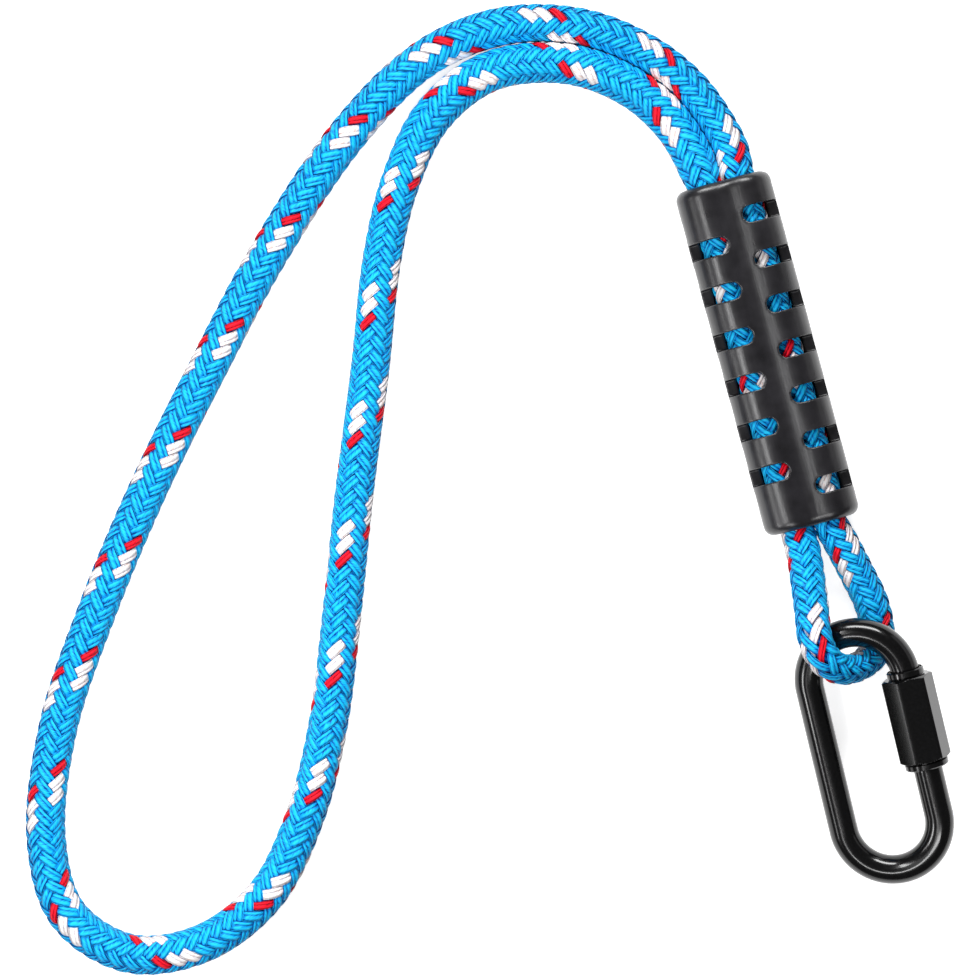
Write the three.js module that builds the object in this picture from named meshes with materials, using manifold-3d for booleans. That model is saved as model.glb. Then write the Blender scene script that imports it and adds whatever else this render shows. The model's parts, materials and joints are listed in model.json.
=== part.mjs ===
// Tow rope handle: an endless rope doubled through a slotted grip sleeve, with a screw quick
// link hung in the small bight below it. Millimetres, +Z up, lying on z = 0.
import * as THREE from 'three';
import { mergeVertices } from 'three/addons/utils/BufferGeometryUtils.js';
import Module from 'manifold-3d';

const wasm = await Module();
wasm.setup();

// ---- Driving dimensions ----
const ROPE = 13;                 // rope diameter, 1/2 inch nominal
const WALL = 2.2;                // thickness of the braided cover
const GAP = 0.3;                 // kept between neighbouring solids
const BIGHT = 11.6;              // rope diameter in the pulled-down bight
const SQUEEZED = 11.6;           // rope diameter inside the grip
const THROAT = 10.6;             // rope diameter where a grip mouth pinches it

const GRIP_LENGTH = 115.4;
const GRIP_LOBE = 9.3;           // radius of each of the two lobes
const GRIP_SPREAD = 6.5;         // lobe centres from the middle
const STRAND_SPREAD = 6;         // strand centres from the middle, inside the grip
const GRIP_DIP = 0.9;            // depth of the valley between the lobes
const GRIP_ROUND = 3.2;          // rounding of the two ends, seen from above
const GRIP_Z = 9.4;              // height of the grip's axis
const MOUTH_SPREAD = 5.5;        // strand centres from the middle, at a mouth
const THROAT_LENGTH = 6;         // over which a bore narrows to its mouth
const LIP = THROAT / 2 + 0.45;   // radius of a mouth's last 2 mm
const LIP_LENGTH = 2;
const WEB_OPENING = [5, 6];      // the bores join through this width and depth between them

const SLOT_WIDTH = 5.5;
const SLOT_PITCH = 15.1;
const SLOT_SHIFT = -0.4;         // of every slot along the grip
const SLOT_INNER = 3.3;          // inner end of a slot, from the middle
const SLOT_BELOW = 0.3;          // how far past the side's widest line a slot runs
const SLOT_COUNT = { wide: 7, staggered: 6 };

const ROD = 9.4;                 // quick link's bar diameter
const BOW = 15.85;               // radius of the bar's centreline in both end bows
const BOW_TOP = [0.3, -109.9];    // centre of the bow inside the bight, seen from above
const BOW_FOOT = [-0.75, -157.4];
const LEAN = [0.26, 0.105];      // rise of the link's plane per mm along x and along y

const NUT_START = -0.6;          // closed nut's upper end, below the bow's tangent
const NUT_COLLAR = 2.4;          // length of the turned collar at each end of the nut
const NUT_COLLAR_UPPER = 6.1;    // radii of the two collars
const NUT_COLLAR_LOWER = 7.1;
const NUT_HEX_LENGTH = 28;
const NUT_FLATS = 15;            // across flats
const NUT_TURN = 17;             // degrees, turns one flat to face almost straight up
const LINK_GAP = { start: 4.2, length: 8.4 };   // below the bow's tangent, hidden by the nut
const LINING = { inner: 4.95, outer: 5.35 };    // radii of the threaded lining
const NUT_BORE = 5.62;
const CHAMFER_CLEARANCE = 0.12;

// Length of rope that bends at each mouth, in the order in which the rope runs.
const NECK = { loop: [42, 28], bight: [17, 17] };
// Length over which the rope swells to its free size from each mouth, in the same order.
const SWELL = { loop: [180, 14], bight: [14, 14] };
const END_JOINT_Y = SLOT_PITCH / 2 + SLOT_SHIFT;     // where the rope's two ends meet inside the grip
const WHIPPING = { length: 4, thick: 0.35, waist: 10.4 };   // waist: rope diameter under it

const MOUTH = GRIP_LENGTH / 2 - 1;      // routes start 1 mm inside the mouths

// Routes of the rope's middle line, as it lies. x across the grip, y along it.
const LOOP_ROUTE = [
  [5.5, 56.7, 9.4], [5.5, 58.7, 9.4], [6, 66.5, 8.9], [4.4, 75, 8], [-1.2, 90, 6.7],
  [-11.5, 104, 6.5], [-29.5, 117.7, 6.5], [-54.5, 125.1, 6.5], [-82, 121.8, 6.5],
  [-112, 105, 6.5], [-147, 74.5, 6.5],
  [-177, 42.5, 6.5], [-206, 9.5, 6.5], [-232, -24, 6.5], [-254.5, -58, 6.5], [-267.5, -92, 6.5],
  [-267, -117, 6.5], [-251, -134.5, 6.5], [-227, -137.5, 6.5], [-203, -127.5, 6.5],
  [-184, -106, 6.5], [-169, -79, 6.5], [-155, -44.5, 6.5], [-141, -8, 6.5], [-126, 28.5, 6.5],
  [-112.5, 63, 6.5], [-100.5, 85, 6.5], [-84.5, 103.1, 6.5], [-63, 112, 6.5],
  [-38.3, 107.9, 6.5], [-20.2, 95.2, 6.5], [-10.9, 81.7, 7], [-7.1, 70.5, 8.2],
  [-5.5, 58.7, 9.4], [-5.5, 56.7, 9.4],
];
const BIGHT_ROUTE = [
  [-5.5, -56.7, 9.4], [-5.5, -58.7, 9.4], [-5.6, -66, 11], [-6.9, -75, 15.2],
  [-8.6, -84.5, 21], [-10, -92, 24.6], [-9.1, -99.2, 24.5], [-4.6, -104.5, 20.3],
  [2, -105.6, 13.9], [8, -103, 8.3], [11.2, -97, 6], [11.8, -87, 5.9],
  [10.1, -78, 6.3], [7.6, -67, 8], [5.5, -58.7, 9.4], [5.5, -56.7, 9.4],
];

const FINEST = 0.05;             // slivers smaller than this are merged away
const ROPE_SIDES = 12;
const ROD_SIDES = 16;
const GRIP_SIDES = 12;           // facets on each lobe's half round

// ---- Materials ----
const cover = new THREE.MeshStandardMaterial({ color: 0x149ae6, roughness: 0.75, metalness: 0 });
const core = new THREE.MeshStandardMaterial({ color: 0xe9e6df, roughness: 0.85, metalness: 0 });
const twine = new THREE.MeshStandardMaterial({ color: 0xf1ece4, roughness: 0.8, metalness: 0 });
const rubber = new THREE.MeshStandardMaterial({ color: 0x35333a, roughness: 0.5, metalness: 0 });
const steel = new THREE.MeshStandardMaterial({ color: 0x101010, roughness: 0.25, metalness: 0.6 });

const handle = new THREE.Group();
handle.name = 'tow_rope_handle';

function addMesh(name, geometry, material, parent = handle) {
  const mesh = new THREE.Mesh(geometry, material);
  mesh.name = name;
  parent.add(mesh);
  return mesh;
}

// ---- Solids ----
function toManifold(geometry) {
  const bare = geometry.clone();
  for (const name of Object.keys(bare.attributes)) {
    if (name !== 'position') bare.deleteAttribute(name);
  }
  const merged = mergeVertices(bare, 1e-4);
  return new wasm.Manifold(new wasm.Mesh({
    numProp: 3,
    vertProperties: new Float32Array(merged.attributes.position.array),
    triVerts: new Uint32Array(merged.index.array),
  }));
}

function fromManifold(solid) {
  const { vertProperties, triVerts } = solid.getMesh();
  const geometry = new THREE.BufferGeometry();
  geometry.setAttribute('position', new THREE.BufferAttribute(vertProperties, 3));
  geometry.setIndex(new THREE.BufferAttribute(triVerts, 1));
  const flat = geometry.toNonIndexed();
  flat.computeVertexNormals();
  return flat;
}

// A closed solid through rings of points that all have the same count. An open row of rings gets
// a cap on each end; a row that closes on itself, as a pipe's outside and inside do, needs none.
function loft(rings, closesOnItself = false) {
  const count = rings[0].length;
  const points = rings.flat();
  const faces = [];
  const joins = closesOnItself ? rings.length : rings.length - 1;
  for (let r = 0; r < joins; r++) {
    const here = r * count;
    const there = ((r + 1) % rings.length) * count;
    for (let i = 0; i < count; i++) {
      const next = (i + 1) % count;
      faces.push(here + i, here + next, there + next, here + i, there + next, there + i);
    }
  }
  if (!closesOnItself) {
    const last = (rings.length - 1) * count;
    const middles = [rings[0], rings.at(-1)].map((ring) => ring
      .reduce((sum, point) => sum.add(point), new THREE.Vector3()).divideScalar(count));
    const [first, second] = [points.length, points.length + 1];
    points.push(...middles);
    for (let i = 0; i < count; i++) {
      const next = (i + 1) % count;
      faces.push(first, next, i, second, last + i, last + next);
    }
  }
  const geometry = new THREE.BufferGeometry().setFromPoints(points);
  geometry.setIndex(faces);
  const flat = geometry.toNonIndexed();
  flat.computeVertexNormals();
  return flat;
}

// Round sections along a curve, between two distances along it; radiusAt takes such a distance.
function ringsAlong(curve, from, to, steps, radiusAt, sides = ROPE_SIDES) {
  const total = curve.getLength();
  const rings = [];
  for (let s = 0; s <= steps; s++) {
    const distance = from + (to - from) * s / steps;
    const share = Math.min(distance / total, 1);
    const centre = curve.getPointAt(share);
    const along = curve.getTangentAt(share);
    const side = new THREE.Vector3(-along.y, along.x, 0).normalize();
    const up = new THREE.Vector3().crossVectors(along, side);
    const ring = [];
    for (let i = 0; i < sides; i++) {
      const angle = 2 * Math.PI * (i + 0.5) / sides;
      ring.push(centre.clone()
        .addScaledVector(side, radiusAt(distance) * Math.cos(angle))
        .addScaledVector(up, radiusAt(distance) * Math.sin(angle)));
    }
    rings.push(ring);
  }
  return rings;
}

const smoothCurve = (route) => new THREE.CatmullRomCurve3(
  route.map(([x, y, z]) => new THREE.Vector3(x, y, z)), false, 'centripetal');

const ease = THREE.MathUtils.smoothstep;

// ---- Rope: a braided cover and the core inside it, one pair of nodes for each stretch ----
function addRope(name, curve, from, to, steps, radiusAt) {
  const [a, b] = [from + GAP / 2, to - GAP / 2];
  const inside = (distance) => radiusAt(distance) - WALL;
  const outer = ringsAlong(curve, a, b, steps, radiusAt);
  const inner = ringsAlong(curve, a, b, steps, inside);
  const middle = ringsAlong(curve, a, b, steps, (distance) => inside(distance) - GAP);
  addMesh(`${name}_cover`, loft([...outer, ...inner.reverse()], true), cover);
  addMesh(`${name}_core`, loft(middle), core);
}

// The rope swells from the pinched throat at a grip mouth to its free size.
const swell = (fromMouth, length, radius) =>
  THROAT / 2 + (radius - THROAT / 2) * ease(fromMouth, 0, length);

function addLoopAndBight() {
  for (const [name, route, diameter, sides, steps] of [
    ['loop', LOOP_ROUTE, ROPE, ['right', 'left'], { neck: 5, body: 44 }],
    ['bight', BIGHT_ROUTE, BIGHT, ['left', 'right'], { neck: 4, body: 26 }],
  ]) {
    const curve = smoothCurve(route);
    const total = curve.getLength();
    const radiusAt = (distance) => Math.min(
      swell(distance, SWELL[name][0], diameter / 2),
      swell(total - distance, SWELL[name][1], diameter / 2));
    const [start, end] = [NECK[name][0], total - NECK[name][1]];
    addRope(`${name}_neck_${sides[0]}`, curve, 0, start, steps.neck, radiusAt);
    addRope(`rope_${name}`, curve, start, end, steps.body, radiusAt);
    addRope(`${name}_neck_${sides[1]}`, curve, end, total, steps.neck, radiusAt);
  }
}

// The two strands inside the grip, from the lower mouth to the upper one. side is 1 or -1.
const strandCurve = (side) => smoothCurve([
  [MOUTH_SPREAD, -MOUTH], [MOUTH_SPREAD, 1 - MOUTH],
  [STRAND_SPREAD - 0.1, THROAT_LENGTH - MOUTH], [STRAND_SPREAD, 2 * THROAT_LENGTH - MOUTH],
  [STRAND_SPREAD, 0],
  [STRAND_SPREAD, MOUTH - 2 * THROAT_LENGTH], [STRAND_SPREAD - 0.1, MOUTH - THROAT_LENGTH],
  [MOUTH_SPREAD, MOUTH - 1], [MOUTH_SPREAD, MOUTH],
].map(([x, y]) => [side * x, y, GRIP_Z]));

const strandRadius = (total) => (distance) =>
  THROAT / 2 + (SQUEEZED - THROAT) / 2
    * ease(Math.min(distance, total - distance), 0, THROAT_LENGTH);

function addStrands() {
  const left = strandCurve(-1);
  addRope('strand_left', left, 0, left.getLength(), 20, strandRadius(left.getLength()));

  const right = strandCurve(1);
  const total = right.getLength();
  const joint = total / 2 + END_JOINT_Y;
  const bound = WHIPPING.length + 2 * GAP;
  const waist = (distance) => (SQUEEZED - WHIPPING.waist) / 2
    * (1 - ease(Math.abs(distance - joint), bound, bound + WHIPPING.length / 2));
  const radiusAt = (distance) => strandRadius(total)(distance) - waist(distance);
  addRope('strand_right_lower', right, 0, joint, 20, radiusAt);
  addRope('strand_right_upper', right, joint, total, 16, radiusAt);

  for (const [name, way] of [['whipping_lower', -1], ['whipping_upper', 1]]) {
    const inner = WHIPPING.waist / 2 + GAP;
    const outer = inner + WHIPPING.thick;
    const half = WHIPPING.length / 2;
    const band = new THREE.LatheGeometry([
      [inner, -half], [outer, -half], [outer, half], [inner, half], [inner, -half],
    ].map(([r, y]) => new THREE.Vector2(r, y)), 24);
    const mesh = addMesh(name, band, twine);
    mesh.position.set(STRAND_SPREAD, END_JOINT_Y + way * (half + GAP), GRIP_Z);
  }
}

// ---- Grip sleeve: two lobes side by side, bored for both strands and slotted both sides ----
// rounded is 0 along the sleeve and 1 on an end face, where the lobes stand round the mouths.
function gripOutline(rounded) {
  const drawnIn = GRIP_SPREAD - MOUTH_SPREAD;
  const spread = GRIP_SPREAD - drawnIn * rounded;
  const radius = GRIP_LOBE - (GRIP_ROUND - drawnIn) * rounded;
  const valley = (x) => radius - GRIP_DIP * (1 + Math.cos(Math.PI * x / spread)) / 2;
  const valleySteps = 6;
  const half = [];
  for (let i = 0; i <= GRIP_SIDES; i++) {
    const angle = Math.PI * (i / GRIP_SIDES - 0.5);
    half.push([-spread - radius * Math.cos(angle), radius * Math.sin(angle)]);
  }
  for (let i = 1; i < valleySteps; i++) {
    const x = spread * (2 * i / valleySteps - 1);
    half.push([x, valley(x)]);
  }
  return [...half, ...half.map(([x, z]) => [-x, -z])];
}

function gripBody() {
  const sections = [];
  const roundSteps = 4;
  for (const end of [-1, 1]) {
    for (let i = 0; i <= roundSteps; i++) {
      const step = end < 0 ? roundSteps - i : i;
      const angle = (Math.PI / 2) * step / roundSteps;
      const y = end * (GRIP_LENGTH / 2 - GRIP_ROUND * (1 - Math.sin(angle)));
      sections.push(gripOutline(1 - Math.cos(angle))
        .map(([x, z]) => new THREE.Vector3(x, y, GRIP_Z + z)));
    }
  }
  return toManifold(loft(sections));
}

function gripBore(side) {
  const curve = strandCurve(side);
  const total = curve.getLength();
  const radiusAt = strandRadius(total);
  const bore = loft(ringsAlong(curve, 0, total, 20, (d) => radiusAt(d) + GAP, 16));
  const past = 1;
  const mouths = [-1, 1].map((end) => new THREE.CylinderGeometry(LIP, LIP, LIP_LENGTH + past, 16)
    .translate(side * MOUTH_SPREAD, end * (GRIP_LENGTH - LIP_LENGTH + past) / 2, GRIP_Z));
  return [bore, ...mouths].map(toManifold);
}

// One row of slots through the top wall, open at the side: side is 1 for the right, -1 left.
function slotRow(side, count) {
  const half = SLOT_WIDTH / 2;
  const beyond = 2 * GRIP_LOBE;
  const centre = SLOT_INNER + half;
  const outline = new THREE.Shape();
  outline.moveTo(side * beyond, -half);
  outline.lineTo(side * centre, -half);
  outline.absarc(side * centre, 0, half, -Math.PI / 2, Math.PI / 2, side > 0);
  outline.lineTo(side * beyond, half);
  const rows = [];
  for (let i = 0; i < count; i++) {
    const slot = new THREE.ExtrudeGeometry(outline, {
      depth: 2 * GRIP_LOBE, bevelEnabled: false, curveSegments: 6,
    });
    slot.translate(0, SLOT_SHIFT + SLOT_PITCH * (i - (count - 1) / 2), -SLOT_BELOW);
    rows.push(toManifold(slot));
  }
  return rows;
}

function addGrip() {
  const top = [...slotRow(1, SLOT_COUNT.wide), ...slotRow(-1, SLOT_COUNT.staggered)];
  const under = top.map((slot) => slot.rotate([0, 180, 0]));
  const slots = [...top, ...under].map((slot) => slot.translate([0, 0, GRIP_Z]));
  const [across, deep] = WEB_OPENING;
  const web = toManifold(new THREE.BoxGeometry(across, GRIP_LENGTH + 2, deep)
    .translate(0, 0, GRIP_Z));
  const cuts = [...gripBore(1), ...gripBore(-1), web, ...slots];
  const sleeve = gripBody().subtract(wasm.Manifold.union(cuts)).simplify(FINEST);
  addMesh('grip_sleeve', fromManifold(sleeve), rubber);
}

// ---- Quick link, in a frame of its own: origin at the upper bow's centre, +y up the link ----
function linkFrame() {
  const slope = Math.hypot(...LEAN);
  const footHeight = ROD / 2 + BOW * Math.sin(Math.atan(slope));
  const foot = new THREE.Vector3(...BOW_FOOT, footHeight);
  const rise = LEAN[0] * (BOW_TOP[0] - BOW_FOOT[0]) + LEAN[1] * (BOW_TOP[1] - BOW_FOOT[1]);
  const top = new THREE.Vector3(...BOW_TOP, footHeight + rise);
  const up = top.clone().sub(foot).normalize();
  const normal = new THREE.Vector3(-LEAN[0], -LEAN[1], 1).normalize();
  const across = new THREE.Vector3().crossVectors(up, normal);
  const frame = new THREE.Group();
  frame.matrix.makeBasis(across, up, normal).setPosition(top);
  frame.matrix.decompose(frame.position, frame.quaternion, frame.scale);
  handle.add(frame);
  return { frame, length: top.distanceTo(foot) };
}

// The bar's middle line, from the gap's upper end over the top bow and round to its lower end.
class LinkLine extends THREE.Curve {
  constructor(length) {
    super();
    const bow = Math.PI * BOW;
    this.legs = [
      { reach: LINK_GAP.start, at: (s) => [BOW, s - LINK_GAP.start] },
      { reach: bow, at: (s) => [BOW * Math.cos(s / BOW), BOW * Math.sin(s / BOW)] },
      { reach: length, at: (s) => [-BOW, -s] },
      { reach: bow, at: (s) => [-BOW * Math.cos(s / BOW), -length - BOW * Math.sin(s / BOW)] },
      { reach: length - LINK_GAP.start - LINK_GAP.length, at: (s) => [BOW, s - length] },
    ];
    this.total = this.legs.reduce((sum, leg) => sum + leg.reach, 0);
  }

  getPoint(share, target = new THREE.Vector3()) {
    let left = share * this.total;
    let leg = 0;
    while (left > this.legs[leg].reach && leg + 1 < this.legs.length) {
      left -= this.legs[leg].reach;
      leg++;
    }
    const [x, y] = this.legs[leg].at(left);
    return target.set(x, y, 0);
  }
}

function addLink(frame, length) {
  const line = new LinkLine(length);
  line.arcLengthDivisions = 800;
  const bar = loft(ringsAlong(line, 0, line.getLength(), 64, () => ROD / 2, ROD_SIDES));
  addMesh('link_body', bar, steel, frame);
}

const revolve = (profile, sides) => new THREE.LatheGeometry(
  profile.map(([r, y]) => new THREE.Vector2(r, y)), sides);

function addNut(frame) {
  const total = NUT_HEX_LENGTH + 2 * NUT_COLLAR;
  const corner = NUT_FLATS / Math.sqrt(3);
  const hexHalf = NUT_HEX_LENGTH / 2;
  // The turned shape clears the corners along the nut and chamfers them at both ends.
  const full = corner + CHAMFER_CLEARANCE;
  const face = NUT_FLATS / 2 - CHAMFER_CLEARANCE;
  const chamfer = full - face;
  const prism = new THREE.CylinderGeometry(corner, corner, NUT_HEX_LENGTH + 1, 6)
    .rotateY(Math.PI / 6);
  const turned = revolve([
    [0, -hexHalf], [face, -hexHalf], [full, -hexHalf + chamfer / 2],
    [full, hexHalf - chamfer / 2], [face, hexHalf], [0, hexHalf],
  ], 48);
  // Each collar starts 1 mm inside the hexagon, so that the three join.
  const [upper, lower] = [[NUT_COLLAR_UPPER, 1], [NUT_COLLAR_LOWER, -1]].map(([radius, end]) =>
    new THREE.CylinderGeometry(radius, radius, NUT_COLLAR + 1, 40)
      .translate(0, end * (hexHalf + (NUT_COLLAR - 1) / 2), 0));
  const bore = new THREE.CylinderGeometry(NUT_BORE, NUT_BORE, total + 2, 40);
  const shell = toManifold(prism).intersect(toManifold(turned))
    .add(toManifold(upper)).add(toManifold(lower)).subtract(toManifold(bore)).simplify(FINEST);

  const place = new THREE.Group();
  place.position.set(BOW, -NUT_START - total / 2, 0);
  place.rotation.y = THREE.MathUtils.degToRad(NUT_TURN);
  frame.add(place);
  addMesh('nut_hex', fromManifold(shell), steel, place);
  const { inner, outer } = LINING;
  const half = total / 2 - GAP;
  addMesh('nut_lining', revolve([
    [inner, -half], [outer, -half], [outer, half], [inner, half], [inner, -half],
  ], 40), steel, place);
}

addGrip();
addStrands();
addLoopAndBight();
const { frame, length } = linkFrame();
addLink(frame, length);
addNut(frame);

// The origin is the middle of the underside of the whole object's box.
handle.updateMatrixWorld(true);
const box = new THREE.Box3().setFromObject(handle, true);
const centre = box.getCenter(new THREE.Vector3());
handle.position.set(-centre.x, -centre.y, -box.min.z);

export default handle;
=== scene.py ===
"""Tow rope handle: an endless braided rope, a slotted grip sleeve and a screw quick link."""
import json
import math

import bpy
import numpy as np
from mathutils import Matrix, Vector


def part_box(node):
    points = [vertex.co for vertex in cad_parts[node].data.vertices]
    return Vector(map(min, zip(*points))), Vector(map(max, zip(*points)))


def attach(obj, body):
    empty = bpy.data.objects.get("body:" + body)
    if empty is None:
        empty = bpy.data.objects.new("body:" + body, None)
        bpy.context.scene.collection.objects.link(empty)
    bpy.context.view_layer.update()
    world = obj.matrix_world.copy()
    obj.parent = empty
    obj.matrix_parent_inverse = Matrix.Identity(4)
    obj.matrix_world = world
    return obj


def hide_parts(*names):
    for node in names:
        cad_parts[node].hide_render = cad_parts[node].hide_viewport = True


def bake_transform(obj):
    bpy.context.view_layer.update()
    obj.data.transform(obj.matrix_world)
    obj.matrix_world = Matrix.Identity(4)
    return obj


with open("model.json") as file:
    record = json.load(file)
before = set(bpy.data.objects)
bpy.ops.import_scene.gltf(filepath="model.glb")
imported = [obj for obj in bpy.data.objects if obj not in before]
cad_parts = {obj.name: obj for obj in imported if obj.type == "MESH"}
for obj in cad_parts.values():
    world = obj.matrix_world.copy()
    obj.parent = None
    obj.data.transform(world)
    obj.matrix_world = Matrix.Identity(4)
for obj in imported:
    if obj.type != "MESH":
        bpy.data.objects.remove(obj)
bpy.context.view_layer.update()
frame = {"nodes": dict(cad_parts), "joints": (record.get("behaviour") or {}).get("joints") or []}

# ---- Driving sizes, in metres unless a name says otherwise ----
MM = 0.001
ROPE = 13 * MM                # diameter of the free loop
BIGHT = 11.6 * MM             # of the small loop through the link
SQUEEZED = 11.6 * MM          # inside the grip
THROAT = 11.2 * MM            # at the grip's mouths
WAIST = 10.4 * MM             # under a whipping
LOOP_SWELL = (180 * MM, 9 * MM)     # how far from each mouth the rope reaches its free size
BIGHT_SWELL = (7 * MM, 7 * MM)
THROAT_LENGTH = 6 * MM        # and how far inside the grip
WHIPPING_LENGTH = 4 * MM
BESIDE = 135 * MM             # how far from the grip the loop's two ends lie side by side
BESIDE_FADE = 30 * MM
FLATTENED = 0.045             # share that they widen by there, pressed together
BEND_AT = 62 * MM             # along the bight, where the rope turns round the link
PINCH = 0.15                  # share of its width that the rope loses there
PINCH_REACH = 13 * MM
COVER_THICKNESS = 2.5 * MM

CARRIERS = 8                  # strands in each of the braid's two directions
BRAID_PITCH = 39 * MM         # one full turn of a strand
BRAID_BASE = 5.3 * MM         # radius that the strands weave about, on free rope
BRAID_WAVE = 0.55 * MM        # how far they weave in and out
STRAND_WIDTH = 3.45 * MM
RED_WIDTH = 2.6 * MM
STRAND_HEIGHT = 1.3 * MM
STRAND_STEP = 0.9 * MM        # between sections along the rope
STRAND_SIDES = 18
STRAND_SQUARE = 0.8           # power that squares the section's shoulders, where 1 is round
STRAND_YARNS = 6              # ridges round a strand
YARN_RELIEF = 0.07            # depth of the grooves between a strand's yarns, as a share
DIVE_WIDTH = 0.08             # share of its width that a strand loses halfway down a dive
DIVE_HEIGHT = 0.06
LINER = 0.34                  # radius of a tube of painted shade inside the cover, seen dark between the strands, as a share of the rope

GRIP_LENGTH = 115.4 * MM
GRIP_LOBE = 9.3 * MM          # radius of each of its two lobes
GRIP_SPREAD = 6.5 * MM        # from the sleeve's middle to a lobe's
GRIP_DIP = 0.9 * MM           # depth of the valley between the lobes
GRIP_ROUND = 3.2 * MM         # rounding of its ends
STRAND_SPREAD = 6 * MM        # from the sleeve's middle to a strand's, well inside
MOUTH_SPREAD = 5.5 * MM       # and at the mouths
MOUTH_INSET = 1 * MM          # how far inside the sleeve's ends the rope's stretches meet
BORE_CLEARANCE = 0.6 * MM     # of the bores, over the rope's diameter
BORE_PAST = 4 * MM            # how far the bores' cutters run on past the rope's stretches
WEB = (2.5 * MM, 3 * MM)      # half sizes of the opening that joins the two bores
WEB_PAST = 2 * MM             # how far its cutter stands out of the sleeve's ends
GRIP_VOXEL = 0.32 * MM
SLOT_WIDTH = 5.5 * MM
SLOT_PITCH = 15.1 * MM
SLOT_SHIFT = -0.4 * MM        # of the rows' middle, along the sleeve
SLOT_INNER = 3.3 * MM         # from the sleeve's middle to a slot's round inner end
SLOT_BELOW = 0.3 * MM         # how far past the sleeve's mid height a slot is cut
SLOTS_RIGHT, SLOTS_LEFT = 7, 6

ROD = 9.4 * MM                # diameter of the link's bar
BOW = 15.85 * MM              # radius of its two round ends, to the bar's middle
BOW_TOP = Vector((0.3, -109.9, 0)) * MM      # their centres, from the grip's middle in plan
BOW_FOOT = Vector((-0.75, -157.4, 0)) * MM
LEAN = (0.26, 0.105)          # how fast the link rises towards +x and +y
LINK_MIDDLE = -30 * MM        # of its opening, up the link from the upper bow's centre
BAR_STEP = 0.25 * MM          # between sections along the bar
THREAD_PITCH = 1.5 * MM
THREAD_DEPTH = 0.55 * MM
THREAD_FADES = (1.5 * MM, 2 * MM)       # length over which it runs out, above and below the gap
TIP_ROUND = 0.8 * MM          # rounding of the bar's two ends at the gap
TIP_SPAN = (-0.6 * MM, 1 * MM)          # where it starts and stops, along the bar from its end
GAP_START, GAP_LENGTH = 4.2 * MM, 8.4 * MM
NUT_LENGTH = 32.8 * MM
NUT_HEX_LENGTH = 28 * MM
NUT_FLATS = 15 * MM
NUT_CORNERS = 0.97            # corner radius of the hexagon, as a share of a sharp one's
NUT_TURN = math.radians(17)
NUT_BORE = 5.62 * MM
NUT_COLLARS = (6.1 * MM, 7.1 * MM)      # radii of the upper and the lower turned collar
LINING_INNER, LINING_OUTER = 4.95 * MM, 5.35 * MM
LINING_RELIEF = 0.3 * MM      # of its thread
LINING_INSET = 0.3 * MM       # how far it stays inside the nut's ends
SHARP_EDGE = math.radians(18)     # edges of the nut that turn more than this stay sharp

VIEW_HEIGHT = 318.2 * MM                # what the picture shows, top to bottom
VIEW_MIDDLE = Vector((-102.5, -18.2, 0)) * MM       # from the grip's middle in plan
VIEW_TURN = math.radians(15.08)
FOCUS_HEIGHT = 8 * MM                   # height at which the picture has that size
FLOOR_DROP = 0.3 * MM                   # keeps the floor clear of the rope's lowest strands

# Middle line of the rope, in mm from the grip's middle seen from above, and z from the table.
LOOP_ROUTE = [
    (5.5, 56.7, 9.4), (5.5, 58.7, 9.4), (6, 66.5, 8.9), (4.4, 75, 8), (-1.2, 90, 6.7),
    (-11.5, 104, 6.5), (-29.5, 117.7, 6.5), (-54.5, 125.1, 6.5), (-82, 121.8, 6.5),
    (-112, 105, 6.5), (-147, 74.5, 6.5), (-177, 42.5, 6.5), (-206, 9.5, 6.5),
    (-232, -24, 6.5), (-254.5, -58, 6.5), (-267.5, -92, 6.5), (-267, -117, 6.5),
    (-251, -134.5, 6.5), (-227, -137.5, 6.5), (-203, -127.5, 6.5), (-184, -106, 6.5),
    (-169, -79, 6.5), (-155, -44.5, 6.5), (-141, -8, 6.5), (-126, 28.5, 6.5),
    (-112.5, 63, 6.5), (-100.5, 85, 6.5), (-84.5, 103.1, 6.5), (-63, 112, 6.5),
    (-38.3, 107.9, 6.5), (-20.2, 95.2, 6.5), (-10.9, 81.7, 7), (-7.1, 70.5, 8.2),
    (-5.5, 58.7, 9.4), (-5.5, 56.7, 9.4),
]
BIGHT_ROUTE = [
    (-5.5, -56.7, 9.4), (-5.5, -58.7, 9.4), (-5.6, -66, 11), (-6.9, -75, 15.2),
    (-8.6, -84.5, 21), (-10, -92, 24.6), (-9.1, -99.2, 24.5), (-4.6, -104.5, 20.3),
    (2, -105.6, 13.9), (8, -103, 8.3), (11.2, -97, 6), (11.8, -87, 5.9),
    (10.1, -78, 6.3), (7.6, -67, 8), (5.5, -58.7, 9.4), (5.5, -56.7, 9.4),
]
MOUTH = GRIP_LENGTH / 2 - MOUTH_INSET

# How the braid lies: mm along the stretch, quarter turns that a strand has made by then, and the
# degrees from the rope's left side, over its top, of a column of floats.
LOOP_MARKS = [
    (8, -20, 117), (84, -12, 118), (159, -4, 91), (237, 4, 70), (315, 12, 55), (393, 20, 56),
    (440, 25, 32), (515, 33, 16), (592, 41, -3), (670, 49, -20), (747, 57, -27), (793, 62, -68),
    (864, 70, -64),
]
BIGHT_MARKS = [(3, 0, 87), (43.4, 4, 80), (83.5, 8, 125), (114.5, 11.5, 137)]
LEFT_MARKS = [(20, 0, 110), (59, 4, 122), (98, 8, 126)]      # from the lower mouth up the grip
RIGHT_MARKS = [(17.3, 0, 104), (56.3, 4, 99), (95.3, 8, 82), (113, 10, 110)]

sleeve_low, sleeve_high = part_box("grip_sleeve")
grip = (sleeve_low + sleeve_high) / 2
GRIP_Z = grip.z
GRIP_PLAN = np.array((grip.x, grip.y, 0))
joints = {j["name"]: j for j in frame["joints"]}


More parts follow.
